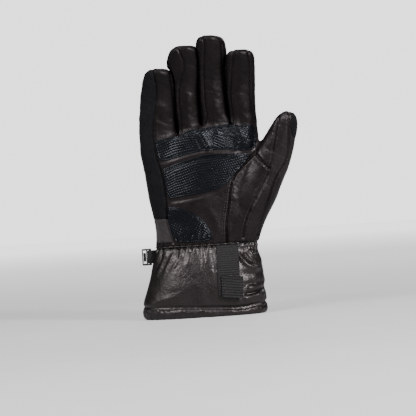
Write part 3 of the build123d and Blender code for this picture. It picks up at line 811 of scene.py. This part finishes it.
light("top", (-0.1, -0.3, 1.6), (0, 0, 0.12), (0.8, 0.6), 6)
light("key", (-0.78, -1.05, 1.2), (0, 0, 0.08), (0.5, 0.4), 19, (1, 0.95, 0.95))
light("left", (-1.4, -0.5, 0.6), (0, 0, 0.1), (0.3, 0.9), 2.5, (1, 0.97, 0.94))
light("right", (1.0, -1.0, 0.85), (0.04, 0, 0.06), (0.26, 0.4), 28, (1, 0.95, 0.95))
light("behind", (0.3, 1.4, 0.9), (0, 0, 0.15), (1.0, 0.8), 5)
world = bpy.data.worlds.new("world")
bpy.context.scene.world = world
world.use_nodes = True
SKY = world.node_tree
SEEN = SKY.nodes.new("ShaderNodeMapRange")
for KEY, VALUE in (("To Min", 0.07), ("To Max", 2.2)):
    SEEN.inputs[KEY].default_value = VALUE
SKY.links.new(SKY.nodes.new("ShaderNodeLightPath").outputs["Is Camera Ray"], SEEN.inputs["Value"])
SKY.links.new(SEEN.outputs[0], SKY.nodes["Background"].inputs["Strength"])
SKY.nodes["Background"].inputs["Color"].default_value = (1, 1, 1, 1)
FLOOR = np.array([(-6000, -6000, 0), (6000, -6000, 0), (6000, 6000, 0), (-6000, 6000, 0)], float) - (0, 0, 0.05)
make("floor", FLOOR, [(0, 1, 2, 3)], "floor", smooth=False)

# ---------------------------------------------------------------- the leather


def on_fingers(x, y, z):
    """Below 0 past the line where the fingers leave the hand."""
    return np.maximum(np.interp(across_fingers(x, y, z), *LEAVE) - z, -WEB_SIDE(x, z))


def on_thumb(x, y, z):
    """Below 0 past the line where the thumb leaves the hand."""
    off = (x - WEB[0]) * WEB_NORMAL[0] + (z - WEB[1]) * WEB_NORMAL[1]
    return np.maximum.reduce([-off, WEB_SIDE(x, z), THUMB_FOOT - z])


def finger_marks(skin, names):
    """Cuts a skin where those fingers leave the hand, and each of them between its two pieces."""
    for digit in [n for n in DIGITS if n in names]:
        x0, x1 = DIGITS[digit]["slot"]

        def within(x, y, z, x0=x0, x1=x1):
            across = across_fingers(x, y, z)
            wider = 11 * ramp(z - np.interp(across, *LEAVE), 8, 13)
            return np.maximum.reduce([on_fingers(x, y, z), x0 - wider - across, across - x1 - wider])

        skin.mark(digit, within)
        tip = lambda x, y, z, w=within, low=DIGITS[digit]["cut"]: np.maximum(w(x, y, z), low - z)
        skin.mark(digit + "_tip", tip)


def hand_marks(skin):
    """Cuts a skin where the fingers and the thumb leave the hand, and between hand and cuff."""
    skin.mark("fingers", on_fingers)
    skin.mark("thumb", on_thumb)
    skin.mark("thumb_tip", lambda x, y, z: np.maximum(on_thumb(x, y, z), THUMB_CUT - thumb_frame(x, z)[0]))
    skin.mark("cuff", lambda x, y, z: z - WRIST_SEAM)


def layer(level, step, more=lambda skin: None):
    """One layer of the glove: the hand's skin, the digits' skins, and which skin each digit is on."""
    hand = Skin(level, step, list(DIGITS))
    hand_marks(hand)
    more(hand)
    skins = {"hand": hand, "thumb": hand}
    for names in (("little", "middle"), ("ring", "index")):
        skin = Skin(level, step, names, 172)
        finger_marks(skin, names)
        more(skin)
        skins.update({n: skin for n in names})
    return skins


def each_digit(skins):
    """Name, base or tip, skin and faces of each digit's two pieces."""
    for name in (*DIGITS, "thumb"):
        own = skins[name]
        for part in ("base", "tip"):
            yield name, part, own, own.marks[name] & (own.marks[name + "_tip"] == (part == "tip"))


def each_skin(skins):
    """Each of a layer's skins once."""
    return {id(k): k for k in skins.values()}.values()


def bend(obj, name, part):
    """Bakes a digit's piece's place into its mesh, the same for every digit and piece."""
    upper, lower, tip = f"{name}_tip", f"{name}_base", part == "tip"
    if name == "thumb":
        if tip:
            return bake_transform(obj)
        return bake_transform(obj)
    if tip:
        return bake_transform(obj)
    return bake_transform(obj)


SIDE_SEAM = lambda x: np.interp(x, [-50, -30, 55, 70], [8, 0, 0, -2])
STRIP_X = table([(z, x) for x, z in STRIP_EDGE[::-1]], 1.0)
TH = rounded(THUMB_EDGE)


def panels(skin):
    """Cuts the outer skin along the seams between its panels."""
    skin.mark("back", lambda x, y, z: SIDE_SEAM(x) - y)
    skin.mark("strip", lambda x, y, z: np.maximum.reduce([x - STRIP_X(z), 99 - z, y - 6 - 0.1 * np.abs(z - 200)]))
    gusset_x = lambda z: np.interp(z, [76, 99], [-26, -31])
    skin.mark("gusset", lambda x, y, z: np.maximum.reduce([x - gusset_x(z), z - 99, y - 8, 76 - z]))
    skin.mark("thenar", lambda x, y, z: np.maximum(np.interp(z, TH[::-1, 1], TH[::-1, 0]) - x, y - SIDE_SEAM(x)))


skins = layer(0.0, STEP, panels)
SWELL = pushed_out()
for one in each_skin(skins):
    plain = normals_of(one.verts, one.tris)
    front, back = ramp(-plain[:, 1], -0.1, 0.25), ramp(plain[:, 1], -0.1, 0.25)
    stand = folds(one.verts, front, back)
    if SWELL:
        height = one.verts[:, 2]
        calm = 1 - 0.5 * front * ramp(height, 70, 80) * (1 - ramp(height, 150, 180))  # the palm swells half as much
        move = sample(SWELL[0], SWELL[1], GIVE, one.verts)
        stand += SWELL_SHARE * calm * ramp(np.abs(plain[:, 1]), 0.15, 0.6) * move
    one.verts = one.verts + plain * stand[:, None]
    one.normals = normals_of(one.verts, one.tris)

for name, part, own, faces in each_digit(skins):
    if name == "little":
        strip = faces & own.marks["strip"]
        node = f"little_{part}_side_strip"
        bend(cut_out(f"little_{part}_strip_skin", own, strip, "suede", node), name, part)
        faces = faces & ~strip
    # Fingers take the leather copy painted darker as painted shade; the thumb takes the copy painted lighter as a
    # painted highlight.
    painted_light_copy = "leather_thumb_painted_highlight" if name == "thumb" else "leather_finger_painted_shade"
    bend(cut_out(f"{name}_{part}_skin", own, faces, painted_light_copy, f"{name}_{part}_leather"), name, part)

skin = skins["hand"]
marks = skin.marks
hand = ~(marks["fingers"] | marks["thumb"])
above = hand & ~marks["cuff"]
panel = above & ~marks["strip"] & ~marks["gusset"]
palm = panel & ~marks["back"]
for name, faces, material, slot in (
    ("cuff_leather", hand & marks["cuff"], "leather_cuff", "leather_cuff"),
    ("side_strip", above & marks["strip"], "suede", "suede"),
    ("side_gusset", above & marks["gusset"], "gusset", "gusset_elastic"),
    ("back_leather", panel & marks["back"], "leather", "leather_back"),
    ("thumb_panel", palm & marks["thenar"], "leather", "leather_palm"),
    ("palm_leather", palm & ~marks["thenar"], "leather", "leather_palm"),
):
    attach(cut_out(f"{name}_skin", skin, faces, material, name), "hand")

# ---------------------------------------------------------------- padding and lining

for inside, level, material in (("padding", -3.0, "fill"), ("lining", -4.8, "lining")):
    inner = layer(level, 3.0)
    for one in each_skin(inner):
        one.normals = normals_of(one.verts, one.tris)
    for name, part, own, faces in each_digit(inner):
        node = f"{name}_{part}_{inside}"
        bend(cut_out(f"{node}_soft", own, faces, material, node), name, part)
    own = inner["hand"]
    rest = ~(own.marks["fingers"] | own.marks["thumb"])
    for name, faces in (("hand", rest & ~own.marks["cuff"]), ("cuff", rest & own.marks["cuff"])):
        node = f"{name}_{inside}"
        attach(cut_out(f"{node}_soft", own, faces, material, node), "hand")

# ---------------------------------------------------------------- patches that stand on the leather


def divided(verts, normals, tris):
    """Each triangle split in four."""
    pairs = np.sort(np.vstack([tris[:, [0, 1]], tris[:, [1, 2]], tris[:, [2, 0]]]), axis=1)
    unique, where = np.unique(pairs, axis=0, return_inverse=True)
    m = where.reshape(3, -1) + len(verts)
    a, b, c = tris.T
    tris = np.vstack([np.stack(t, 1) for t in ((a, m[0], m[2]), (m[0], b, m[1]), (m[2], m[1], c), (m[0], m[1], m[2]))])
    mid = lambda v: np.vstack([v, (v[unique[:, 0]] + v[unique[:, 1]]) / 2])
    n = mid(normals)
    return mid(verts), n / np.linalg.norm(n, axis=1)[:, None], tris


def patch(name, node, outline, thick, texture, material, on_front=True, rounds=1, centre_y=0.0):
    """A piece sewn on the skin inside an outline, thick at its middle and closed down to the skin at its edge."""
    outline = rounded(np.array([*outline, outline[0]], float), 1)[:-1]
    side = 1 if on_front else -1
    part = Skin.__new__(Skin)
    part.verts, part.tris, part.marks = skin.verts, skin.tris, {}
    flat = lambda x, y, z: np.maximum(inside_of(outline, x, z), side * (y - centre_y))
    part.keep((flat(*part.verts.T) < 4)[part.tris].all(1))
    part.mark("in", flat)
    n = smoothed(normals_of(part.verts, part.tris), part.tris, 2)
    used, index = np.unique(part.tris[part.marks["in"]], return_inverse=True)
    v, n, tris = part.verts[used], n[used], index.reshape(-1, 3)
    for _ in range(rounds):
        v, n, tris = divided(v, n, tris)
    d = -inside_of(outline, v[:, 0], v[:, 2])
    rise = thick * (1 - (1 - np.clip(d / (1.3 * thick), 0, 1)) ** 2) ** 0.5
    v = v + n * (rise - 0.12 + ramp(d, 0.8, 1.8) * texture(v, d))[:, None]
    obj = make(name, v, tris, material)
    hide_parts(node)
    return obj


def dots(rise):
    """Rows of small pads, rise giving the rows' height along X, and a stitched groove inside the edge."""
    across, high = np.array(rise, float).T
    steep = np.gradient(high, across)

    def texture(v, d):
        x, z = v[:, 0], v[:, 2]
        slope = np.interp(x, across, steep)
        row = (z - np.interp(x, across, high) + 0.6 * np.sin(x / 9 + z / 14)) / np.hypot(1, slope) ** 0.5
        col = x * np.hypot(1, slope) ** 0.5 + 0.8 * np.sin(z / 8)
        turn = row * 2 * pi / 2.4
        pads = (0.5 + 0.5 * np.cos(turn)) * (0.75 + 0.25 * np.cos(col * 2 * pi / 2.3 + turn / 2))
        return (0.3 + 0.14 * ramp(x, 10, 40)) * pads - 0.5 * np.exp(-(((d - 1.6) / 0.6) ** 2))

    return texture


ROWS_RISE = {
    "upper": [(-42, -12), (-20, -6), (0, -1), (8, 0), (20, -9), (30, -18), (40, -27), (46, -30), (66, -30)],
    "middle": [(-40, -19), (-20, -8.5), (0, 0), (20, 5), (40, 9), (62, 12)],
    "heel": [(-36, 22), (-20, 11), (-10, 4), (0, -4), (14, -17)],
}
GRIPS = {
    "upper": [(-38, 176.6), (-25, 179), (-11, 181), (-8, 183.6), (-2, 185.6), (12, 186), (20, 187.6), (35, 189.4),
              (42, 187.4), (62, 187.6), (62.6, 175), (61, 162), (50, 161.6), (37, 162), (31, 163.6), (14, 163.8),
              (4, 163), (-11, 159.8), (-34, 154.6), (-37.2, 165)],
    "middle": [(-32, 148.4), (-16, 153.5), (-1, 157.2), (7, 159.5), (20, 160.4), (50, 158.6), (57, 159), (49, 148.5),
               (39, 139), (30, 128.6), (21, 125), (9, 122.2), (-1, 121), (-16, 119.6), (-30, 117.6)],
    "heel": [(-30.6, 110.6), (-21, 110.5), (-11, 106.4), (-1, 100.8), (4.4, 95.5), (9, 88.5), (12, 81.5), (13, 74),
             (-22, 74), (-26.4, 80), (-29.4, 92)],
}  # fmt: skip
for name, outline in GRIPS.items():
    node, fine = f"grip_patch_{name}", 2
    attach(patch(f"{node}_skin", node, outline, 0.9, dots(ROWS_RISE[name]), "grip", rounds=fine), "hand")


def quilt(v, d):
    """Three sewn channels across the knuckle pad."""
    x, z = v[:, 0], v[:, 2]
    lines = sum(np.exp(-(((x - k) / 1.1) ** 2)) for k in (-16, 8, 33))
    return 0.8 * ramp(d, 2, 9) - 1.3 * lines


PAD = [(-44, 172), (-20, 176), (20, 178), (58, 174), (56, 152), (20, 149), (-20, 148), (-44, 150)]
obj = patch("knuckle_pad_skin", "knuckle_pad", PAD, 2.6, quilt, "leather", on_front=False)
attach(obj, "hand")

WIPE = [(98.4, 195), (101.5, 197), (105, 192), (105, 180), (102.4, 171.5), (98, 171.5), (96.4, 178), (97, 187)]
obj = patch("thumb_wipe_patch_skin", "thumb_wipe_patch", WIPE, 0.8, lambda v, d: 0 * d, "suede",
            centre_y=10)  # fmt: skip
bend(obj, "thumb", "tip")

# ---------------------------------------------------------------- hem, welt, elastic


def ring(z, grow=0.0, count=720):
    """Points and outward directions round the glove at height z."""
    left, right = float(BODY_LEFT(z)), float(BODY_RIGHT(z))
    half, deep, mid = (right - left) / 2 + grow, float(BODY_DEEP(z)) + grow, (left + right) / 2
    power = float(BODY_POWER(z))
    t = np.linspace(0, 2 * pi, count, endpoint=False)
    c, s = np.cos(t), np.sin(t)
    px, py = half * np.sign(c) * np.abs(c) ** (2 / power), deep * np.sign(s) * np.abs(s) ** (2 / power)
    dx, dy = np.roll(px, -1) - np.roll(px, 1), np.roll(py, -1) - np.roll(py, 1)
    n = np.stack([dy, -dx], 1) / np.hypot(dx, dy)[:, None]
    run = np.concatenate([[0], np.cumsum(np.hypot(np.diff(px), np.diff(py)))])
    even = np.linspace(0, run[-1], count, endpoint=False)
    return (
        np.stack([np.interp(even, run, px) + mid, np.interp(even, run, py)], 1),
        np.stack([np.interp(even, run, n[:, k]) for k in (0, 1)], 1),
        even,
    )


def roll(name, node, z, half_wide, half_high, inset, power, fold, material, heights=lambda x, y: 1.0):
    """A closed padded roll round the glove, whose top heights(x, y) lowers or raises.

    fold(x, y, run, turn) is how far its surface stands out.
    """
    path, out, run = ring(z)
    tall = heights(*path.T)
    turns = np.linspace(0, 2 * pi, 28, endpoint=False)
    rows = []
    for t in turns:
        c, s = cos(t), sin(t)
        push = fold(*path.T, run, t)
        away = half_wide * np.sign(c) * abs(c) ** (2 / power) - inset + push * c
        high = half_high * np.sign(s) * abs(s) ** (2 / power)
        level = z + half_high * (tall - 1) + high * tall + push * s * (0.3 if s < 0 else 1)
        rows.append(np.column_stack([path + out * np.reshape(away, (-1, 1)), level]))
    faces = [f[::-1] for f in grid_faces(len(turns), len(path), True, True)]
    obj = make(name, np.vstack(rows), faces, material)
    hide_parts(node)
    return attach(obj, "hand")


def hem_folds(x, y, run, t):
    p = np.stack([x, y, 0 * x + 8 * sin(t)], 1)
    q = np.stack([run, 0 * run, 0 * run + 5 * sin(t)], 1)
    left = ramp(-x, 15, 35) * (y < 0)
    return 0.45 * noise3(p, 9.0, 4) + (0.25 + 0.6 * left) * noise3(q, (2.6, 5, 9), 2) - 0.4 * creases(q, (5, 9, 12), 1)


def hem_height(x, y):
    """The hem roll's height as a share of its height at the back."""
    front = ramp(-y, 0, 14)
    return np.where(y < 0, HEM_TOP(x) * front + HEM_BACK * (1 - front), HEM_BACK) / HEM_BACK


roll("hem_roll_skin", "hem_roll", 5.3, 4.0, 5.3, 2.0, 2.2, hem_folds, "leather_cuff",
               hem_height)  # fmt: skip
roll("wrist_welt_skin", "wrist_welt", 70.6, 1.3, 0.9, 0.8, 2.0,
     lambda x, y, run, t: 0.25 * np.sin(run * 2 * pi / 6.8), "leather_cuff")  # fmt: skip
roll("wrist_elastic_band", "wrist_elastic", 71.5, 0.6, 4.4, 3.0, 4.0,
     lambda x, y, run, t: 0.15 * np.sin(run * 2 * pi / 3), "gusset")  # fmt: skip

# ---------------------------------------------------------------- straps

TREE = BVHTree.FromPolygons(skin.verts.tolist(), skin.tris.tolist())


def on_palm(x, z):
    """The palm-side skin's Y at a point."""
    hit = TREE.ray_cast(Vector((x, -120, z)), Vector((0, 1, 0)))[0]
    return hit.y if hit else 0.0


def strap(name, node, corner, across, down, behind, thick, ribs, body):
    """Flat webbing over the palm side, its ribs that far apart.

    corner, across and down give it in X and Z, and behind(x, z, u, v) is its back's Y.
    """
    cols, rows = 22, 160
    uu, vv = np.meshgrid(np.linspace(0, 1, cols), np.linspace(0, 1, rows))
    x = corner[0] + uu * across[0] + vv * down[0]
    z = corner[1] + uu * across[1] + vv * down[1]
    y = behind(x, z, uu, vv)
    length = np.hypot(*down)
    wave = 0.22 * np.cos(vv * length * 2 * pi / ribs)
    edge = 0.35 * (np.clip(np.abs(uu - 0.5) * 2 - 0.9, 0, 1) / 0.1) ** 2
    face = np.stack([x, y - thick + edge - wave, z], -1).reshape(-1, 3)
    rear = np.stack([x, y - edge, z], -1).reshape(-1, 3)
    n = rows * cols
    quads = grid_faces(rows, cols)
    faces = quads + [tuple(n + i for i in f[::-1]) for f in quads]
    last_row, last_col = (rows - 1) * cols, cols - 1
    edges = [(r * cols + c, (r + 1) * cols + c, c == 0) for r in range(rows - 1) for c in (0, last_col)]
    edges += [(r + c, r + c + 1, r > 0) for c in range(cols - 1) for r in (0, last_row)]
    for a, b, flip in edges:
        q = (a, b, n + b, n + a)
        faces.append(q[::-1] if flip else q)
    obj = make(name, np.vstack([face, rear]), faces, "webbing")
    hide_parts(node)
    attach(obj, body)


CUFF_Y = table([(z, min(on_palm(x, z) for x in (18, 22, 27, 32, 36))) for z in range(14, 72, 3)], 3.5)
strap("pull_webbing_strap", "pull_webbing", (16, 69.8), (21.5, 0), (-0.6, -48.8),
      lambda x, z, u, v: CUFF_Y(z) - 0.1, 1.6, 2.2, "hand")  # fmt: skip
strap("pull_tab_strap", "pull_tab", (19.6, 40.6), (20.6, -2.6), (-1, -21.2),
      lambda x, z, u, v: CUFF_Y(z) - 2.1 - np.exp(-((v * 21 / 2.2) ** 2)), 2.4, 2.6, "pull_tab")  # fmt: skip


def stitches(name, line, pitch, length, radius, body="hand", replaces=(), height=on_palm, zigzag=0.0):
    """Single stitches of thread that follow a line in X and Z over the palm side."""
    line = rounded(line)
    steps = np.hypot(*np.diff(line, axis=0).T)
    run = np.concatenate([[0], np.cumsum(steps)])
    rounds, sides = 6, 6
    verts, faces = [], []
    for k, s in enumerate(np.arange(pitch / 2, run[-1], pitch)):
        place = [np.interp(s + o, run, line[:, c]) for o in (-0.5, 0.5) for c in (0, 1)]
        along = Vector((place[2] - place[0], 0, place[3] - place[1])).normalized()
        side = Vector((along.z, 0, -along.x))
        along = (along + side * (zigzag if k % 2 else -zigzag)).normalized()
        x, z = (place[0] + place[2]) / 2, (place[1] + place[3]) / 2
        ends = [(x + along.x * e * length / 2, z + along.z * e * length / 2) for e in (-1, 1)]
        a, b = (Vector((e[0], height(*e), e[1])) for e in ends)
        axis = (b - a).normalized()
        up = axis.cross(Vector((0, 1, 0))).normalized()
        first = len(verts)
        for i in range(rounds + 1):
            t = i / rounds
            r = radius * max(sin(pi * t), 0.05) ** 0.5
            centre = a.lerp(b, t) + Vector((0, 0.25 - 0.35 * sin(pi * t), 0))
            for j in range(sides):
                turn = 2 * pi * j / sides
                verts.append(centre + (up * cos(turn) + up.cross(axis) * sin(turn)) * r)
        faces += [tuple(first + i for i in f) for f in grid_faces(rounds + 1, sides, wrap_cols=True)]
    obj = make(name, [tuple(v) for v in verts], faces, "thread")
    if replaces:
        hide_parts(*replaces)
    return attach(obj, body)


for name, gap in (("inner", 2.0), ("outer", 4.4)):
    stitches(f"thumb_stitches_{name}", [(x - gap, z) for x, z in THUMB_EDGE[1:-1]], 2.6, 2.0, 0.32)
stitches("wrist_stitches", [(-40, 68.2), (-10, 68.8), (14, 68.6)], 3.4, 2.4, 0.35)
STRAP_FACE, TAB_FACE = (lambda x, z, proud=proud: float(CUFF_Y(z)) - proud for proud in (1.8, 4.6))
stitches("webbing_bar_tacks_thread", [(17.4, 40), (17.4, 22.5)], 1.0, 2.0, 0.3, replaces=("webbing_bar_tacks",),
         height=STRAP_FACE, zigzag=1.6)  # fmt: skip
stitches("tab_stitches", [(21.4, 36.5), (38.4, 34.4), (37.6, 21.4), (20.8, 22), (21.4, 36.5)], 2.0, 1.5, 0.28,
         body="pull_tab", height=TAB_FACE)  # fmt: skip

# ---------------------------------------------------------------- the clip's webbing, and the CAD parts that stay

(_, _, CZ0), (CX1, _, CZ1) = (np.array(c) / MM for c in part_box("clip_webbing"))
BAR = np.array(JOINTS["clip_swing"]["pos_m"]) / MM
FOLD = [(BAR[0] + 2.7 * cos(t), BAR[1] + 2.3 * sin(t)) for t in -np.linspace(pi / 2, 3 * pi / 2, 20)]
SECTION = [(CX1 + 1.5, BAR[1] - 1.1), *FOLD, (CX1 + 1.5, BAR[1] + 1.1)]
CLIP_WEBBING_THICK = 0.95
ROWS = np.linspace(CZ0, CZ1, 60)
VERTS = []
for z in ROWS:
    rib = 0.14 * cos((z - CZ0) * 2 * pi / 1.3)
    for x, y in SECTION:
        VERTS.append((x, y + Vector((x - BAR[0], y - BAR[1])).normalized().y * rib, z))
    for x, y in SECTION[::-1]:  # the inner side, which the bar runs through
        d = Vector((x - BAR[0], y - BAR[1]))
        share = max(d.length - CLIP_WEBBING_THICK, 0.0) / d.length
        share_x, share_y = (share, share) if x < BAR[0] + 1 else (1, 0.05)
        VERTS.append((BAR[0] + d.x * share_x, BAR[1] + d.y * share_y, z))
COLS = 2 * len(SECTION)
ENDS = [tuple(range(COLS))[::-1], tuple(range((len(ROWS) - 1) * COLS, len(ROWS) * COLS))]
FACES = grid_faces(len(ROWS), COLS, wrap_cols=True) + ENDS
obj = make("clip_webbing_loop", VERTS, FACES, "webbing")
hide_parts("clip_webbing")
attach(obj, "hand")

for node in ("clip_frame", "clip_tongue"):
    for material_slot in frame["nodes"][node].material_slots:
        material_slot.material = MATERIALS["plastic"]
